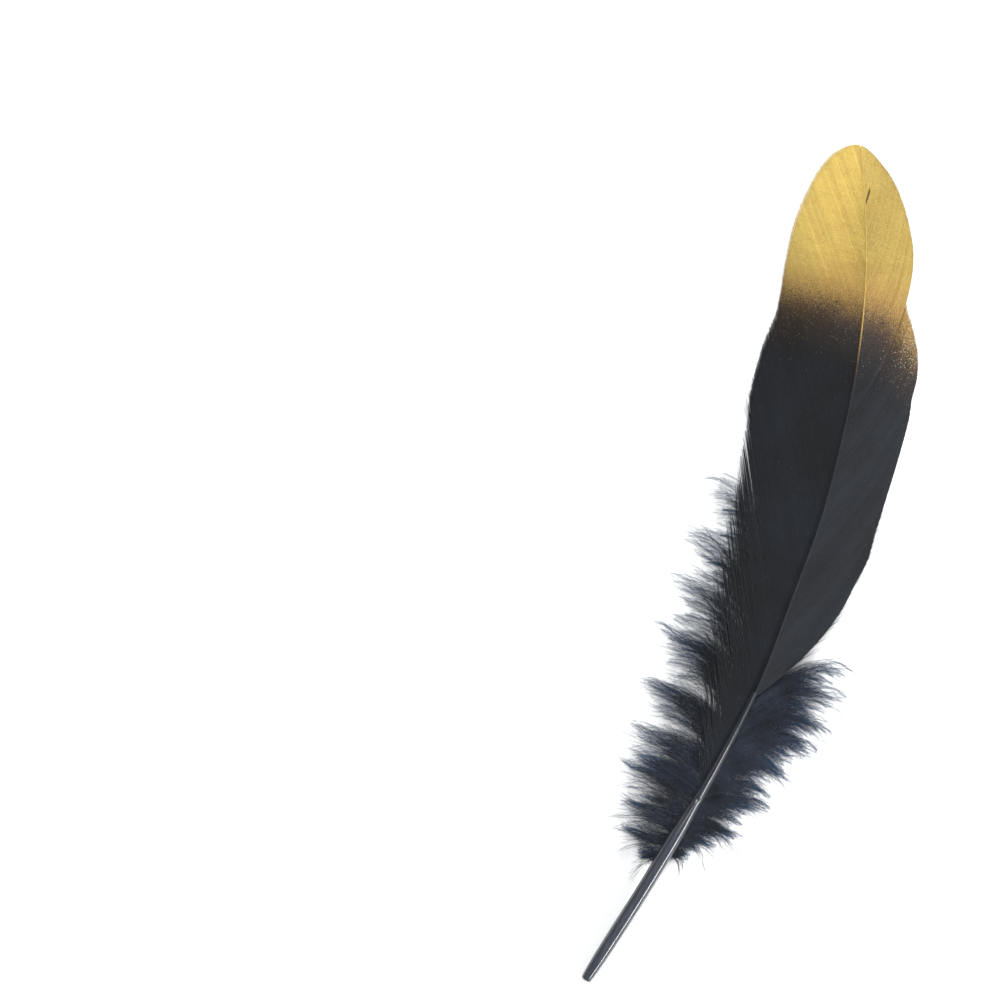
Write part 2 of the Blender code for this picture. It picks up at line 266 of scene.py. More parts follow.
def ranged(tree, value, low, high, to_low=0.0, to_high=1.0, smooth=False):
    """value from low to high moved onto to_low to to_high, and held at the ends."""
    return add(tree, "ShaderNodeMapRange",
               {"Value": value, "From Min": low, "From Max": high, "To Min": to_low,
                "To Max": to_high},
               interpolation_type="SMOOTHSTEP" if smooth else "LINEAR").outputs[0]


# %% [markdown]
# ## Dye, paint and horn
#
# The dye soaks in and leaves the barbs almost black. The down's thin tips are painted paler and
# bluer: painted light that shows through the thin fibres. The gold is sprayed on top: it covers
# the tip, then breaks up into droplets over about a centimetre, and a few droplets land lower. A
# fine noise is the droplets and a smooth ramp along the feather is how many of them land, so where
# the ramp is high all of the noise counts as paint and where it is low only its peaks do.
#
# The horn's gloss wears off up the shaft, in bands: each has the place along the shaft where it
# ends, and how strong its gloss is.

# %% Finish helpers
BLACK_DYE = (0.0065, 0.007, 0.008, 1)
BLUE_DYE = (0.009, 0.012, 0.018, 1)
DOWN_DYE = (0.027, 0.037, 0.06, 1)
DOWN_TIP_LIT_THROUGH = (0.022, 0.06, 0.13, 1)
HORN = (0.026, 0.029, 0.039, 1)
WORN_HORN = (0.048, 0.054, 0.07, 1)
GOLD_LIGHT = (0.64, 0.47, 0.125, 1)
GOLD_DEEP = (0.43, 0.285, 0.07, 1)
GOLD_THIN = (0.33, 0.18, 0.06, 1)
GOLD_SPECK = (0.5, 0.44, 0.3, 1)
BORDER = 148.1
BORDER_SPREAD = 0.11
BORDER_WANDER = 2.0
LOWER_ON_RIGHT, LOWER_ON_LEFT = 4.6, 1.3
DROPLETS_PER_METRE = 8000.0
STRAYS_PER_METRE = 4200.0
GLOSS_BANDS = [(55.0, 1.0), (59.0, 0.6), (63.0, 0.28), (67.0, 0.12)]


def new_finish(name, roughness, specular):
    """A material with its tree and shader."""
    material = bpy.data.materials.new(name)
    material.use_nodes = True
    shader = material.node_tree.nodes["Principled BSDF"]
    shader.inputs["Roughness"].default_value = roughness
    shader.inputs["Specular IOR Level"].default_value = specular
    return material, material.node_tree, shader


def noise(tree, scale, detail=2.0, stretch=(1.0, 1.0, 1.0)):
    """Noise on the object's own coordinates, in grains per metre."""
    place = add(tree, "ShaderNodeTexCoord").outputs["Object"]
    place = vectors(tree, "MULTIPLY", place, stretch)
    return add(tree, "ShaderNodeTexNoise", {"Vector": place, "Scale": scale, "Detail": detail})


def plan_place(tree):
    """Across and along in millimetres, as on the plan."""
    place = add(tree, "ShaderNodeTexCoord").outputs["Object"]
    split = add(tree, "ShaderNodeSeparateXYZ", {0: place})
    across = maths(tree, "MULTIPLY_ADD", split.outputs["X"], 1 / MM)
    across.node.inputs[2].default_value = -QUILL_END.x
    along = maths(tree, "MULTIPLY_ADD", split.outputs["Y"], 1 / MM)
    along.node.inputs[2].default_value = -QUILL_END.y
    return across, along


def gold_spray(tree, lift=0.0):
    """How much gold covers this spot, how thick the spray is around it, and its stray specks."""
    across, along = plan_place(tree)
    wander = maths(tree, "SUBTRACT", noise(tree, 350.0, 3.0).outputs["Fac"], 0.5)
    wander = maths(tree, "MULTIPLY", wander, BORDER_WANDER)
    reach = maths(tree, "ADD", maths(tree, "ADD", along, wander), lift)
    reach = maths(tree, "ADD", reach, ranged(tree, across, 16.5, 24.0, 0.0, LOWER_ON_RIGHT))
    reach = maths(tree, "ADD", reach, ranged(tree, across, -6.0, 4.0, LOWER_ON_LEFT, 0.0))
    drops = ranged(tree, noise(tree, DROPLETS_PER_METRE, 1.0).outputs["Fac"], 0.3, 0.7, -0.5, 0.5)
    heap = maths(tree, "MULTIPLY", maths(tree, "SUBTRACT", reach, BORDER), BORDER_SPREAD)
    paint = ranged(tree, maths(tree, "ADD", drops, heap), -0.25, 0.25)
    mist = ranged(tree, reach, 134.0, 150.0, 0.0, 0.11, smooth=True)
    paint = maths(tree, "MAXIMUM", paint, mist)
    lobe = maths(tree, "MULTIPLY", ranged(tree, across, 19.0, 22.0), ranged(tree, along, 134.0, 141.0))
    rare = maths(tree, "SUBTRACT", ranged(tree, reach, 128.0, 147.0, 0.79, 0.68),
                 maths(tree, "MULTIPLY", lobe, 0.09))
    stray = maths(tree, "SUBTRACT", noise(tree, STRAYS_PER_METRE, 1.0).outputs["Fac"], rare)
    return paint, ranged(tree, reach, 144.0, 158.0), ranged(tree, stray, 0.0, 0.04, 0.0, 0.6)


def gold_colour(tree, spray, strength):
    """Gold, browner where the spray is thin, with fine grain and streaks, and painted light and shade:
    brighter to the left, darker to the right.
    """
    across, along = plan_place(tree)
    grain = noise(tree, 3600.0, 3.0).outputs["Fac"]
    streaks = noise(tree, 700.0, 3.0, (0.3, 2.0, 1.0)).outputs["Fac"]
    cloud = noise(tree, 220.0, 3.0).outputs["Fac"]
    tone = maths(tree, "MULTIPLY", grain, 1.1)
    tone = maths(tree, "ADD", tone, maths(tree, "MULTIPLY", streaks, 0.35))
    tone = maths(tree, "ADD", tone, maths(tree, "MULTIPLY", cloud, 0.35))
    # Painted light and shade: brighter to the left, darker towards the right.
    tone = maths(tree, "ADD", tone, ranged(tree, across, -6.0, 7.0, 0.12, -0.1))
    tone = maths(tree, "ADD", tone, ranged(tree, along, 150.0, 176.0, -0.05, 0.14))
    full = blended(tree, ranged(tree, tone, 0.6, 1.15), GOLD_DEEP, GOLD_LIGHT, "RGBA")
    full = vectors(tree, "SCALE", full, strength)
    return blended(tree, spray, GOLD_THIN, full, "RGBA")


# %% Vane finish


def vane_finish(name, strength=1.0, lift=0.0):
    """Dyed barbs with the gold tip, which is this strong and reaches this much lower."""
    material, tree, shader = new_finish(name, 0.5, 0.14)
    paint, spray, specks = gold_spray(tree, lift)
    tone_and_painted_shade = add(tree, "ShaderNodeAttribute", attribute_name="shade").outputs["Fac"]
    cloud = noise(tree, 90.0, 3.0).outputs["Fac"]
    dye = blended(tree, ranged(tree, cloud, 0.35, 0.7), BLACK_DYE, BLUE_DYE, "RGBA")
    # Each barb's shade attribute scales its colour: a random tone from barb to barb, with painted
    # shade on the lower bands and in the slits.
    dye = vectors(tree, "SCALE", dye, ranged(tree, tone_and_painted_shade, -1.0, 1.0, 0.4, 1.12))
    gold = gold_colour(tree, spray, strength)
    gold = vectors(tree, "SCALE", gold, ranged(tree, tone_and_painted_shade, -1.0, 1.0, 0.5, 1.05))
    colour = blended(tree, paint, dye, gold, "RGBA")
    colour = blended(tree, specks, colour, GOLD_SPECK, "RGBA")
    tree.links.new(colour, shader.inputs["Base Color"])
    tree.links.new(maths(tree, "MULTIPLY", paint, 0.3), shader.inputs["Metallic"])
    tree.links.new(blended(tree, paint, 0.58, 0.48, "FLOAT"), shader.inputs["Roughness"])
    shader.inputs["Sheen Weight"].default_value = 0.12
    shader.inputs["Sheen Roughness"].default_value = 0.4
    bump = add(tree, "ShaderNodeBump", {"Strength": 0.35, "Distance": 0.00006,
                                        "Height": noise(tree, 6000.0, 2.0).outputs["Fac"]})
    tree.links.new(bump.outputs[0], shader.inputs["Normal"])
    return material


def down_finish():
    """Dyed down, painted paler and bluer towards its fine tips: painted light that shows through them.
    """
    material, tree, shader = new_finish("dyed_down", 0.65, 0.12)
    share = add(tree, "ShaderNodeAttribute", attribute_name="share").outputs["Fac"]
    cloud = noise(tree, 160.0, 3.0).outputs["Fac"]
    dye = blended(tree, ranged(tree, cloud, 0.35, 0.7), BLUE_DYE, DOWN_DYE, "RGBA")
    # Paler and bluer towards the tips: painted light that shows through the thin fibres.
    thin = ranged(tree, share, 0.6, 1.0, smooth=True)
    colour = blended(tree, thin, dye, DOWN_TIP_LIT_THROUGH, "RGBA")
    tree.links.new(colour, shader.inputs["Base Color"])
    shader.inputs["Sheen Weight"].default_value = 0.1
    return material


def quill_finish(name, gloss):
    """Dyed horn under this much gloss, a little worn in fine lines along it."""
    material, tree, shader = new_finish(name, 0.3, 0.3)
    lines = noise(tree, 2200.0, 3.0, (1.0, 0.05, 1.0)).outputs["Fac"]
    _, along = plan_place(tree)
    wear = maths(tree, "MULTIPLY", ranged(tree, lines, 0.45, 0.8), ranged(tree, along, 44.0, 32.0))
    horn = blended(tree, ranged(tree, along, 50.0, 34.0), BLUE_DYE, HORN, "RGBA")
    horn = blended(tree, wear, horn, WORN_HORN, "RGBA")
    tree.links.new(horn, shader.inputs["Base Color"])
    shader.inputs["Coat Weight"].default_value = gloss
    shader.inputs["Coat Roughness"].default_value = 0.08
    bump = add(tree, "ShaderNodeBump", {"Strength": 0.08, "Distance": 0.00004, "Height": lines})
    tree.links.new(bump.outputs[0], shader.inputs["Normal"])
    return material


left_finish = vane_finish("dyed_barbs_gold_tip")
# The right vane's gold is painted darker, at 0.7 of the strength: painted shade.
right_finish = vane_finish("dyed_barbs_gold_tip_painted_shade", strength=0.7)
# The shaft's gold is painted 1.2 times as bright: a painted highlight along the shaft. The lift is
# paint that reaches lower on the shaft.
shaft_finish = vane_finish("dyed_shaft_gold_tip", strength=1.2, lift=8.0)
loose_finish = down_finish()
horn_finishes = [quill_finish(f"dyed_quill_{number}", gloss)
                 for number, (_, gloss) in enumerate(GLOSS_BANDS)]
finishes = [left_finish, right_finish, shaft_finish, loose_finish] + horn_finishes
print("finishes:", [finish.name for finish in finishes])

# %% [markdown]
# ## The shaft
#
# The quill is a hollow horn tube with a small pit at its cut end. At the first down it turns into
# the shaft, where a nick on its face marks the end of the hollow part. From there up it is
# deeper than it is wide, grooved below, and its round back draws up into a ridge that catches
# the light as one thin line. Between 55 and 67 mm its gloss fades into a matt skin like the barbs'.
# Its section changes all the way, so it is built ring by ring from one function and not swept
# from a fixed profile.

# %% Shaft
SHAFT_SIDES = 28
SHAFT_STEP = 0.8
NICK_ALONG, NICK_HALF_LENGTH, NICK_DEPTH = 42.4, 0.55, 0.2
GROOVE_STARTS, GROOVE_FULL, GROOVE_DEPTH = 43.0, 52.0, 0.5
RIDGE_STARTS, RIDGE_FULL, RIDGE_POWER = 36.0, 47.0, 1.5


def shaft_ring(along, scale=1.0, push=0.0):
    """One ring of the shaft."""
    middle = shaft_point(along)
    half_width = smooth_value(SHAFT_HALF_WIDTH, along) * scale
    half_depth = half_width * smooth_value(SHAFT_DEPTH, along)
    heading = (shaft_point(along + 1.0) - middle).normalized()
    sideways = heading.cross(Vector((0, 0, 1))).normalized()
    upwards = sideways.cross(heading)
    groove = GROOVE_DEPTH * min(1.0, max(0.0, (along - GROOVE_STARTS) / (GROOVE_FULL - GROOVE_STARTS)))
    ridge = min(1.0, max(0.0, (along - RIDGE_STARTS) / (RIDGE_FULL - RIDGE_STARTS)))
    power = 1 + (RIDGE_POWER - 1) * ridge
    ring = []
    for side in range(SHAFT_SIDES):
        angle = 2 * math.pi * side / SHAFT_SIDES
        out, rise = math.cos(angle), math.sin(angle)
        if rise > 0:
            out = math.copysign(abs(out) ** power, out)
            rise = rise ** power
        below = max(0.0, -rise - 0.75) / 0.25
        above = max(0.0, rise - 0.6) / 0.4
        rise += groove * below
        nick = max(0.0, 1 - abs(along - NICK_ALONG) / NICK_HALF_LENGTH) * NICK_DEPTH * above
        point = (middle + sideways * out * half_width + upwards * (rise * half_depth - nick)
                 + heading * push)
        point.z = max(point.z, 0.0)
        ring.append(point)
    return ring


def tube_mesh(name, rings):
    """A closed mesh from rings of points on the plan, capped at both ends."""
    sides = len(rings[0])
    faces = []
    for ring in range(len(rings) - 1):
        for side in range(sides):
            turn = (side + 1) % sides
            faces.append((ring * sides + side, ring * sides + turn,
                          (ring + 1) * sides + turn, (ring + 1) * sides + side))
    faces.append(tuple(reversed(range(sides))))
    faces.append(tuple(range((len(rings) - 1) * sides, len(rings) * sides)))
    mesh = bpy.data.meshes.new(name)
    mesh.from_pydata([spot(point) for ring in rings for point in ring], [], faces)
    mesh.shade_smooth()
    mesh.set_sharp_from_angle(angle=math.radians(50))
    made = bpy.data.objects.new(name, mesh)
    bpy.context.scene.collection.objects.link(made)
    return made


def make_shaft():
    """Quill and shaft in one tube, from the pit in its cut end to the vane's tip."""
    stops = [0.25 * i for i in range(1, 12)]
    while stops[-1] + SHAFT_STEP < 179.0:
        fine = abs(stops[-1] - NICK_ALONG) < 2.0
        stops.append(stops[-1] + (0.12 if fine else SHAFT_STEP))
    rings = [shaft_ring(0.0, 0.2, 1.6), shaft_ring(0.0, 0.34, 1.5), shaft_ring(0.0, 0.4, 0.25),
             shaft_ring(0.0, 0.5, 0.02), shaft_ring(0.0, 0.8, 0.0), shaft_ring(0.0, 0.93, 0.06)]
    rings += [shaft_ring(stop) for stop in stops]
    shaft = tube_mesh("shaft", rings)
    for finish in horn_finishes + [shaft_finish]:
        shaft.data.materials.append(finish)
    for face in shaft.data.polygons:
        face.material_index = sum(face.center.y > spot(shaft_point(end)).y for end, _ in GLOSS_BANDS)
    print("shaft:", len(rings), "rings")
    return shaft


shaft = make_shaft()

# %% [markdown]
# ## Barbs from seeds
#
# A vane has no sheet in it: it is barbs, side by side. Each barb is planned here as a seed, one
# point with the places of its root, its tip and the pull that bends it, its width, and a shade.
# A Geometry Nodes tree then puts a straight line on each seed, bends it as a quadratic curve
# through those places, and sweeps a flat lens-shaped section along it. The tree does the
# repeating, and the seeds keep each barb's own character.

# %% Seeds


def barb_seed(root, pull, tip, width, end_width, shade, fluff=0.0):
    """One barb's plan: its places in millimetres, its widths turned to metres, and its looseness."""
    return {"root": root, "pull": pull, "tip": tip, "width": width * MM,
            "end_width": end_width * MM, "shade": shade, "fluff": fluff}


def seed_points(name, seeds):
    """A mesh of loose points that carries the seeds' values as attributes."""
    mesh = bpy.data.meshes.new(name)
    mesh.from_pydata([spot(seed["root"]) for seed in seeds], [], [])
    for key, sample in seeds[0].items():
        if isinstance(sample, Vector):
            values = [value for seed in seeds for value in spot(seed[key])]
            mesh.attributes.new(key, "FLOAT_VECTOR", "POINT").data.foreach_set("vector", values)
        else:
            values = [seed[key] for seed in seeds]
            mesh.attributes.new(key, "FLOAT", "POINT").data.foreach_set("value", values)
    made = bpy.data.objects.new(name, mesh)
    bpy.context.scene.collection.objects.link(made)
    return made


# %% Tree parts that every barb shares


def new_tree(name, sockets):
    """A tree that takes points and the named inputs, and gives a mesh. Returns it and its ends."""
    tree = bpy.data.node_groups.new(name, "GeometryNodeTree")
    tree.interface.new_socket("Geometry", in_out="INPUT", socket_type="NodeSocketGeometry")
    tree.interface.new_socket("Geometry", in_out="OUTPUT", socket_type="NodeSocketGeometry")
    for label, kind in sockets:
        tree.interface.new_socket(label, in_out="INPUT", socket_type="NodeSocket" + kind)
    return tree, add(tree, "NodeGroupInput").outputs, add(tree, "NodeGroupOutput")


def named(tree, name, kind="FLOAT"):
    """The value of a named attribute."""
    return add(tree, "GeometryNodeInputNamedAttribute", {"Name": name}, data_type=kind).outputs[0]


def bent_lines(tree, seeds, stations):
    """A curve for each seed, from its root past its pull to its tip, and the share along it."""
    line = add(tree, "GeometryNodeCurvePrimitiveLine").outputs[0]
    line = add(tree, "GeometryNodeResampleCurve", {"Curve": line, "Count": stations}).outputs[0]
    copies = add(tree, "GeometryNodeInstanceOnPoints", {"Points": seeds, "Instance": line})
    curves = add(tree, "GeometryNodeRealizeInstances", {"Geometry": copies.outputs[0]}).outputs[0]
    share = add(tree, "GeometryNodeSplineParameter").outputs["Factor"]
    root, pull, tip = (named(tree, key, "FLOAT_VECTOR") for key in ("root", "pull", "tip"))
    place = blended(tree, share, blended(tree, share, root, pull), blended(tree, share, pull, tip))
    curves = add(tree, "GeometryNodeSetPosition", {"Geometry": curves, "Position": place})
    curves = add(tree, "GeometryNodeStoreNamedAttribute",
                 {"Geometry": curves.outputs[0], "Name": "share", "Value": share})
    return curves.outputs[0], share


def finish_tree(tree, mesh, material, exit_node):
    """Smooth shading, real meshes that stay above the table, and the material, to end a tree."""
    mesh = add(tree, "GeometryNodeSetShadeSmooth", {0: mesh}).outputs[0]
    mesh = add(tree, "GeometryNodeRealizeInstances", {0: mesh}).outputs[0]
    place = add(tree, "GeometryNodeInputPosition").outputs[0]
    above = vectors(tree, "MAXIMUM", place, (-1.0, -1.0, 0.0))
    mesh = add(tree, "GeometryNodeSetPosition", {"Geometry": mesh, "Position": above}).outputs[0]
    mesh = add(tree, "GeometryNodeSetMaterial", {"Geometry": mesh, "Material": material}).outputs[0]
    tree.links.new(mesh, exit_node.inputs[0])


def grown(name, tree, seeds, values):
    """Runs a tree on the seeds and keeps its result as a plain mesh object."""
    holder = seed_points(name + "_seeds", seeds)
    modifier = holder.modifiers.new("grow", "NODES")
    modifier.node_group = tree
    identifiers = {item.name: item.identifier for item in tree.interface.items_tree
                   if item.in_out == "INPUT"}
    for label, value in values.items():
        modifier[identifiers[label]] = value
    evaluated = holder.evaluated_get(bpy.context.evaluated_depsgraph_get())
    mesh = bpy.data.meshes.new_from_object(evaluated)
    mesh.name = name
    holder.modifiers.remove(modifier)
    bpy.data.objects.remove(holder)
    made = bpy.data.objects.new(name, mesh)
    bpy.context.scene.collection.objects.link(made)
    triangles = sum(len(face.vertices) - 2 for face in mesh.polygons)
    print(name + ":", len(seeds), "barbs,", triangles, "triangles")
    return made


# %% Vane tree


def make_vane_tree():
    """Flat barbs that overlap like tiles and end in a point, a long one where they are loose."""
    tree, given, exit_node = new_tree("vane_barbs", [
        ("Stations", "Int"), ("Flatness", "Float"), ("Tile tilt", "Float"), ("Material", "Material")])
    curves, share = bent_lines(tree, given["Geometry"], given["Stations"])
    curves = add(tree, "GeometryNodeSetCurveNormal", {"Curve": curves}, mode="Z_UP").outputs[0]
    curves = add(tree, "GeometryNodeSetCurveTilt", {"Curve": curves, "Tilt": given["Tile tilt"]})
    width = blended(tree, share, named(tree, "width"), named(tree, "end_width"), "FLOAT")
    loose = maths(tree, "MULTIPLY_ADD", named(tree, "fluff"), -0.5)
    loose.node.inputs[2].default_value = 0.965
    point = ranged(tree, share, loose, 1.0, 1.0, 0.35)
    profile = add(tree, "GeometryNodeCurvePrimitiveCircle", {"Resolution": 4, "Radius": 0.5})
    flat = add(tree, "ShaderNodeCombineXYZ", {"X": 1.0, "Y": given["Flatness"], "Z": 1.0})
    profile = add(tree, "GeometryNodeTransform", {0: profile.outputs[0], "Scale": flat.outputs[0]})
    mesh = add(tree, "GeometryNodeCurveToMesh",
               {"Curve": curves.outputs[0], "Profile Curve": profile.outputs[0],
                "Scale": maths(tree, "MULTIPLY", width, point), "Fill Caps": True})
    finish_tree(tree, mesh.outputs[0], given["Material"], exit_node)
    return tree


vane_tree = make_vane_tree()

# %% [markdown]
# ## The vanes
#
# Barbs stand a third of a millimetre apart on the shaft and draw closer towards the edge, so
# each one's width is measured from its neighbour, a little wider to overlap. Neighbouring barbs
# hook together in bands, so the shade and the height drift slowly from band to band. Low on the
# left the hooks give out: there the barbs stop short and down takes over.

# %% Vane seeds
BARB_STEP = 0.36
BARB_OVERLAP = 1.5
VANE_START, VANE_END = 43.5, 179.4
RIGHT_VANE_START = 65.4
LEFT_FULL_FROM, LEFT_SHORT_SHARE = 84.0, 0.42
LOOSE_SPLAY = 1.1
# Slits: stretches of barbs sunk a little and painted dark, painted shadow in the gap between barbs.
SLITS = [(168.4, 169.2, 0.0, 0.3), (123.0, 123.7, 0.84, 0.93)]
SLIT_DEPTH, SLIT_PAINTED_SHADOW = 0.35, -1.0
BAND_RELIEF = 0.06
VANE_SEED = 11


def barb_gap(side, root, share):
    """How far the next barb up stands from this one, measured square to it."""
    here = barb_point(side, root, share)
    ahead = barb_point(side, root, share + 0.02) - here
    beside = barb_point(side, root + BARB_STEP, share) - here
    return max(0.06, ahead.cross(beside).length / max(ahead.length, 1e-6))


def vane_barb(side, root, start, stop, sink, shade, chance):
    """A barb from start to stop, as shares of the way to the edge, lowered by sink."""
    ends = [barb_point(side, root, share) for share in (start, (start + stop) / 2, stop)]
    for end in ends[1:]:
        end.z = max(end.z - sink, 0.06)
    pull = ends[1] * 2 - (ends[0] + ends[2]) * 0.5
    loose = 0.0
    if side < 0:
        loose = max(0.0, 1 - (root - VANE_START) / (LEFT_FULL_FROM - VANE_START))
    splay = LOOSE_SPLAY * loose
    tip = ends[2] + Vector((chance.uniform(-splay, splay), chance.uniform(-splay, splay), 0.0))
    return barb_seed(ends[0], pull, tip, barb_gap(side, root, 0.05) * BARB_OVERLAP,
                     barb_gap(side, root, 0.95) * BARB_OVERLAP * (1 - 0.75 * loose), shade, loose)


def vane_seeds(side, first, last, chance):
    """Seeds for one vane between two roots."""
    seeds = []
    drift, band = 0.5, 0.5
    root = first
    while root < last:
        if chance.random() < 0.09:
            band = chance.random()
        drift += (band - drift) * 0.3
        # A lower band is also painted darker: painted shade over the random tone.
        shade = 0.5 * drift + 0.5 * chance.random()
        sink = (0.5 - drift) * BAND_RELIEF
        start, stop = 0.0, 1.0 - chance.uniform(0.0, 0.012)
        if side < 0 and root < LEFT_FULL_FROM:
            hooked = (root - VANE_START) / (LEFT_FULL_FROM - VANE_START)
            stop = LEFT_SHORT_SHARE + (1 - LEFT_SHORT_SHARE) * hooked ** 0.8
            stop -= chance.uniform(0.0, 0.22) * (1 - hooked)
        for low, high, slit_start, slit_stop in SLITS:
            if side > 0 and low < root < high:
                if slit_start > 0:
                    seeds.append(vane_barb(side, root, start, slit_start, sink, shade, chance))
                # The piece in the slit is sunk and painted dark: painted shadow.
                seeds.append(vane_barb(side, root, slit_start, slit_stop, SLIT_DEPTH, SLIT_PAINTED_SHADOW,
                                       chance))
                start = slit_stop
        seeds.append(vane_barb(side, root, start, stop, sink, shade, chance))
        root += BARB_STEP * chance.uniform(0.85, 1.15)
    return seeds


# %% Wisps
WISP_START, WISP_WIDTH, WISP_END_WIDTH = 0.2, 0.12, 0.03
LEFT_WISPS, LOW_WISPS, EDGE_WISPS = 16, 44, 46


def wisp(side, root, share, out, chance):
    """A loose barb end that stands out from the vane's edge, out millimetres far."""
    start = barb_point(side, root, share - WISP_START)
    edge = barb_point(side, root, share)
    tip = edge + (edge - start).normalized() * out * chance.uniform(0.5, 1.1)
    tip += Vector((side * out * 0.75, -0.1 * out, 0.0))
    tip.z = max(tip.z + chance.uniform(-0.3, 0.5), 0.1)
    return barb_seed(start, edge, tip, WISP_WIDTH, WISP_END_WIDTH, chance.random(), 1.0)


# %% Grow the vanes
chance = random.Random(VANE_SEED)
vane_values = {"Stations": 18, "Flatness": 0.4, "Tile tilt": 0.2, "Material": left_finish}
left_seeds = vane_seeds(-1, VANE_START, VANE_END, chance)
left_seeds += [wisp(-1, chance.uniform(78.0, 88.0), 1.0, chance.uniform(0.6, 2.2), chance)
               for _ in range(LEFT_WISPS)]
left_vane = grown("left_vane", vane_tree, left_seeds, vane_values)
vane_values.update({"Tile tilt": -0.2, "Material": right_finish})
right_seeds = vane_seeds(1, RIGHT_VANE_START, VANE_END, chance)
right_seeds += [wisp(1, RIGHT_VANE_START + chance.uniform(0.0, 0.8), chance.uniform(0.45, 1.0),
                     chance.uniform(0.6, 3.6), chance) for _ in range(LOW_WISPS)]
right_seeds += [wisp(1, chance.uniform(66.0, 79.0), 1.0, chance.triangular(0.3, 3.0, 0.6), chance)
                for _ in range(EDGE_WISPS)]
right_vane = grown("right_vane", vane_tree, right_seeds, vane_values)

# %% [markdown]
# ## The down
#
# Below the vanes the barbs have no hooks. They stay apart, soft and wavy, with fine barbules on
# both sides like tiny feathers of their own, and they gather in tufts that come to a point. A
# second tree bends and waves the barbs, then sets a thin spike at even steps along each one,
# leaning outwards on a random side. Spikes of four triangles each keep some hundred and fifty
# thousand barbules light.

# %% Down tree


def make_down_tree():
    """Wavy thin barbs with barbules on both sides."""
    tree, given, exit_node = new_tree("down_barbs", [
        ("Stations", "Int"), ("Wave height", "Float"), ("Waves per metre", "Float"),
        ("Barbule step", "Float"), ("Barbule length", "Float"), ("Barbule width", "Float"),
        ("Barbule lean", "Float"), ("Seed", "Int"), ("Material", "Material")])
    curves, share = bent_lines(tree, given["Geometry"], given["Stations"])
    place = add(tree, "GeometryNodeInputPosition").outputs[0]
    own = add(tree, "ShaderNodeCombineXYZ",
              {"Z": maths(tree, "MULTIPLY", named(tree, "shade"), 0.02)}).outputs[0]
    wave = add(tree, "ShaderNodeTexNoise", {"Vector": vectors(tree, "ADD", place, own),
                                            "Scale": given["Waves per metre"], "Detail": 1.0})
    sway = vectors(tree, "SUBTRACT", wave.outputs["Color"], (0.5, 0.5, 0.5))
    sway = vectors(tree, "SCALE", sway, maths(tree, "MULTIPLY", share, given["Wave height"]))
    curves = add(tree, "GeometryNodeSetPosition", {"Geometry": curves, "Offset": sway}).outputs[0]
    above = vectors(tree, "MAXIMUM", place, (-1.0, -1.0, 0.00015))
    curves = add(tree, "GeometryNodeSetPosition", {"Geometry": curves, "Position": above}).outputs[0]
    curves = add(tree, "GeometryNodeSetCurveNormal", {"Curve": curves}, mode="Z_UP").outputs[0]
    width = blended(tree, share, named(tree, "width"), named(tree, "end_width"), "FLOAT")
    profile = add(tree, "GeometryNodeCurvePrimitiveCircle", {"Resolution": 3, "Radius": 0.5})
    tubes = add(tree, "GeometryNodeCurveToMesh",
                {"Curve": curves, "Profile Curve": profile.outputs[0], "Scale": width,
                 "Fill Caps": True})
    steps = add(tree, "GeometryNodeCurveToPoints", {"Curve": curves, "Length": given["Barbule step"]},
                mode="LENGTH")
    seed = given["Seed"]

    def chosen(low, high, number):
        """A random number for each barbule."""
        offset = maths(tree, "ADD", seed, float(number))
        return add(tree, "FunctionNodeRandomValue", {2: low, 3: high, "Seed": offset}).outputs[1]

    flip = maths(tree, "ROUND", chosen(0.0, 1.0, 1))
    roll = maths(tree, "MULTIPLY_ADD", flip, math.pi)
    tree.links.new(chosen(-0.8, 0.8, 2), roll.node.inputs[2])
    lean = maths(tree, "MULTIPLY", given["Barbule lean"], chosen(0.75, 1.3, 3))
    turn = add(tree, "FunctionNodeEulerToRotation",
               {0: add(tree, "ShaderNodeCombineXYZ", {"Y": lean, "Z": roll}).outputs[0]})
    aim_at = add(tree, "FunctionNodeRotateRotation",
                 {"Rotation": steps.outputs["Rotation"], "Rotate By": turn.outputs[0]},
                 rotation_space="LOCAL")
    along = named(tree, "share")
    swell = maths(tree, "MULTIPLY", ranged(tree, along, 0.0, 0.3, 0.6, 1.0),
                  ranged(tree, along, 0.5, 1.0, 1.0, 0.35))
    swell = maths(tree, "MULTIPLY", swell, named(tree, "fluff"))
    length = maths(tree, "MULTIPLY", maths(tree, "MULTIPLY", given["Barbule length"], swell),
                   chosen(0.6, 1.25, 4))
    size = add(tree, "ShaderNodeCombineXYZ", {"X": given["Barbule width"], "Y": given["Barbule width"],
                                              "Z": length})
    spike = add(tree, "GeometryNodeMeshCone", {"Vertices": 3, "Radius Top": 0.0,
                                               "Radius Bottom": 0.5, "Depth": 1.0})
    copies = add(tree, "GeometryNodeInstanceOnPoints",
                 {"Points": steps.outputs["Points"], "Instance": spike.outputs[0],
                  "Rotation": aim_at.outputs[0], "Scale": size.outputs[0]})
    joined = add(tree, "GeometryNodeJoinGeometry")
    tree.links.new(tubes.outputs[0], joined.inputs[0])
    tree.links.new(copies.outputs[0], joined.inputs[0])
    finish_tree(tree, joined.outputs[0], given["Material"], exit_node)
    return tree


down_tree = make_down_tree()

# %% [markdown]
# The tufts are planned one by one. On the right the photograph shows each against the white
# ground. The left ones can't be seen in it: they are guessed after the right ones, and follow the
# loose part of the left vane further up. Each line gives the stretch of shaft that a tuft's barbs
# grow from, and where its point is, along and across. Between the tufts shorter barbs fill the
# down up to one dense mass, and past them run a few long thin hairs that droop.

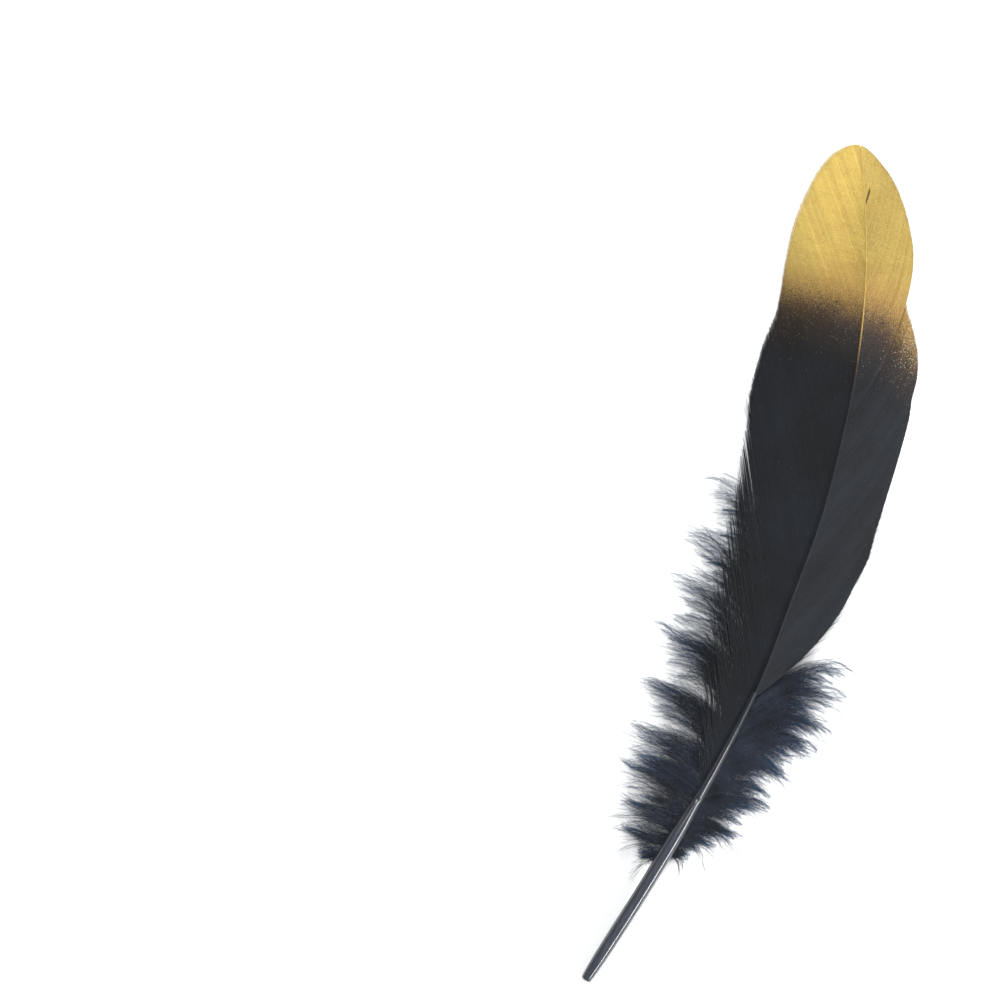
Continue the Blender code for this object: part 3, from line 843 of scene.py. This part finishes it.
# %% Tufts
RIGHT_TUFTS = [(27.6, 31.0, 30.7, 11.8), (30.0, 34.5, 34.2, 16.6), (32.5, 38.0, 38.6, 21.6),
               (36.0, 44.0, 45.8, 24.6), (42.0, 49.5, 54.0, 26.6), (47.0, 54.5, 59.8, 30.6),
               (52.0, 58.5, 65.4, 32.6), (56.0, 61.5, 72.6, 33.4), (59.5, 63.6, 78.8, 32.0)]
LEFT_TUFTS = [(27.6, 31.0, 28.6, 1.4), (30.0, 35.0, 32.6, -3.2), (33.0, 39.5, 38.4, -5.8),
              (37.5, 45.0, 45.6, -7.2), (43.0, 51.0, 54.0, -8.0), (49.0, 57.0, 64.0, -8.6),
              (55.0, 63.0, 75.0, -9.2), (60.0, 69.0, 86.0, -9.6), (65.0, 75.0, 96.5, -9.4),
              (71.0, 82.0, 108.0, -8.0)]
TUFT_BARBS_PER_MM = {1: 4.4, -1: 3.0}
FILL_BARBS_PER_MM = {1: 8.6, -1: 8.0}
UNDER_VANE, UNDER_STARTS, UNDER_FULL = 1.7, 46.0, 60.0
DOWN_WIDTH, DOWN_END_WIDTH = 0.13, 0.03
DOWN_SPREAD = 0.07
HAIRS_PER_TUFT = 9
FILL_REACH, HAIR_REACH = (0.5, 0.86), (0.95, 1.12)
TUFT_SHORTFALL, TUFT_CROWDING = 0.36, 1.3
HAIR_DROOP, HAIR_FLUFF = (0.5, 6.5), 0.4
TIP_SAG = 0.04
TUFTS_IN_LOWER, TUFTS_IN_MIDDLE = 4, 3
BARBULE_STEP = {1: 0.00014, -1: 0.0002}
DOWN_SEED = 5


def rim_point(tufts, root):
    """The point on a line from tuft to tuft that a barb from this root heads for."""
    tip_along = [((low + high) / 2, along) for low, high, along, _ in tufts]
    tip_across = [((low + high) / 2, across) for low, high, _, across in tufts]
    return Vector((smooth_value(tip_across, root), smooth_value(tip_along, root), 0.0))


def down_barb(side, along, point, reach, chance, width, fluff, droop=0.0):
    """A barb from the shaft towards a point, which leaves forwards and curls outwards."""
    root = shaft_point(along)
    forward = (shaft_point(root.y + 1) - shaft_point(root.y)).normalized()
    outward = Vector((forward.y, -forward.x, 0.0)).normalized() * side
    root.z += chance.uniform(-0.3, 0.3)
    span = (point - root).length
    spread = DOWN_SPREAD * span
    tip = point + Vector((chance.triangular(-spread, spread), chance.triangular(-spread, spread), 0.0))
    tip = root.lerp(tip, reach)
    out, on = (tip - root).dot(outward), (tip - root).dot(forward)
    pull = root + outward * out * chance.uniform(0.28, 0.46)
    pull += forward * (on * chance.uniform(0.8, 1.0) + span * 0.08)
    tip.y -= droop + TIP_SAG * span
    under = UNDER_VANE * min(1.0, max(0.0, (along - UNDER_STARTS) / (UNDER_FULL - UNDER_STARTS)))
    tip.z = chance.uniform(0.3, 3.0 - under)
    pull.z = root.z * 0.8 + tip.z * 0.2 + chance.uniform(-0.8, 0.9) - under
    root.z -= under * 0.5
    return barb_seed(root, pull, tip, width, DOWN_END_WIDTH, chance.random(), fluff)


def down_seeds(side, tufts, group, chance):
    """Seeds for one group of a side's tufts: the fill between them, their barbs, their hairs."""
    seeds = []
    start, stop = group[0][0], group[-1][1]
    for _ in range(round((stop - start) * FILL_BARBS_PER_MM[side])):
        root = chance.uniform(start, stop)
        seeds.append(down_barb(side, root, rim_point(tufts, root), chance.uniform(*FILL_REACH), chance,
                               DOWN_WIDTH * chance.uniform(0.9, 1.4), chance.uniform(1.1, 1.4)))
    for low, high, tip_along, tip_across in group:
        point = Vector((tip_across, tip_along, 0.0))
        for _ in range(round((high - low) * TUFT_BARBS_PER_MM[side])):
            reach = 1.0 - TUFT_SHORTFALL * chance.random() ** TUFT_CROWDING
            seeds.append(down_barb(side, chance.uniform(low, high), point, reach, chance,
                                   DOWN_WIDTH * chance.uniform(0.8, 1.2), chance.uniform(0.8, 1.1)))
        for _ in range(HAIRS_PER_TUFT):
            seeds.append(down_barb(side, chance.uniform(low, high), point, chance.uniform(*HAIR_REACH),
                                   chance, DOWN_WIDTH * 0.6, HAIR_FLUFF, chance.uniform(*HAIR_DROOP)))
    return seeds


# %% Grow the down
chance = random.Random(DOWN_SEED)
down_values = {"Stations": 14, "Wave height": 0.0046, "Waves per metre": 130.0,
               "Barbule length": 0.0013, "Barbule width": 0.00007,
               "Barbule lean": 0.7, "Material": loose_finish}
down_pieces = []
for side, label, tufts in ((1, "right", RIGHT_TUFTS), (-1, "left", LEFT_TUFTS)):
    cuts = [0, TUFTS_IN_LOWER, TUFTS_IN_LOWER + TUFTS_IN_MIDDLE, len(tufts)]
    for number, height in enumerate(("lower", "middle", "upper")):
        group = tufts[cuts[number]:cuts[number + 1]]
        down_values["Seed"] = 100 * number + 10 * (side + 1)
        down_values["Barbule step"] = BARBULE_STEP[side]
        name = f"down_{label}_{height}"
        seeds = down_seeds(side, tufts, group, chance)
        down_pieces.append(grown(name, down_tree, seeds, down_values))

# %% [markdown]
# ## Riding on the solid
#
# Every piece grows from the one solid of the frame, so all of them ride on its body and stand for
# it together.

# %% Rides on the solid
for piece in [shaft, left_vane, right_vane] + down_pieces:
    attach(piece, "root")
    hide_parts("feather")
